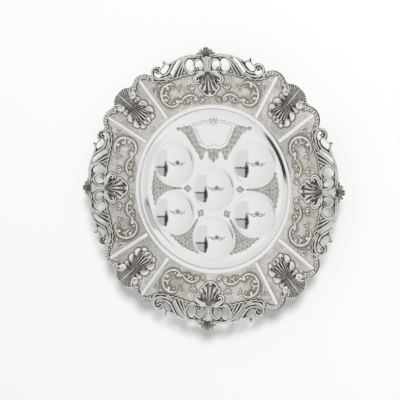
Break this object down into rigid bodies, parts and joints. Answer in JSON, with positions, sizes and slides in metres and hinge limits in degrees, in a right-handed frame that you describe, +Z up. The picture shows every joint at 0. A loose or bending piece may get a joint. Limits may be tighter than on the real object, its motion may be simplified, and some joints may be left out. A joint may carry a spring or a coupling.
{
  "type": "seder plate",
  "caption": "Round silver seder plate on a low foot ring, with dished food wells in a polished centre, a coved shoulder and a rim of chased panels, scroll galleries and leaves.",
  "frame": {"origin": "middle of the foot ring's underside, on the table", "axes": "+Z up out of the wells, +Y towards the top of the plate, where no well lies, +X to its right"},
  "size_m": [0.4, 0.4, 0.041],
  "materials": {
    "polished_silver": "mirror-polished silver",
    "antiqued_silver": "antiqued silver, dark in the recesses and bright on the high points"
  },
  "bodies": {
    "root": {"foot_ring": "polished_silver", "centre_plate": "polished_silver", "shoulder_ring": "polished_silver", "well_centre": "polished_silver", "well_upper_right": "polished_silver", "well_lower_right": "polished_silver", "well_bottom": "polished_silver", "well_lower_left": "polished_silver", "well_upper_left": "polished_silver", "scroll_panel_top": "antiqued_silver", "pierced_gallery_top": "antiqued_silver", "palmette_top": "antiqued_silver", "scroll_panel_right": "antiqued_silver", "pierced_gallery_right": "antiqued_silver", "palmette_right": "antiqued_silver", "scroll_panel_bottom": "antiqued_silver", "pierced_gallery_bottom": "antiqued_silver", "palmette_bottom": "antiqued_silver", "scroll_panel_left": "antiqued_silver", "pierced_gallery_left": "antiqued_silver", "palmette_left": "antiqued_silver", "leaf_panel_upper_right": "antiqued_silver", "acanthus_leaf_upper_right": "antiqued_silver", "leaf_panel_lower_right": "antiqued_silver", "acanthus_leaf_lower_right": "antiqued_silver", "leaf_panel_lower_left": "antiqued_silver", "acanthus_leaf_lower_left": "antiqued_silver", "leaf_panel_upper_left": "antiqued_silver", "acanthus_leaf_upper_left": "antiqued_silver", "rib_strip_1": "antiqued_silver", "lobe_moulding_1": "antiqued_silver", "rib_strip_2": "antiqued_silver", "lobe_moulding_2": "antiqued_silver", "rib_strip_3": "antiqued_silver", "lobe_moulding_3": "antiqued_silver", "rib_strip_4": "antiqued_silver", "lobe_moulding_4": "antiqued_silver", "rib_strip_5": "antiqued_silver", "lobe_moulding_5": "antiqued_silver", "rib_strip_6": "antiqued_silver", "lobe_moulding_6": "antiqued_silver", "rib_strip_7": "antiqued_silver", "lobe_moulding_7": "antiqued_silver", "rib_strip_8": "antiqued_silver", "lobe_moulding_8": "antiqued_silver"}
  },
  "joints": []
}
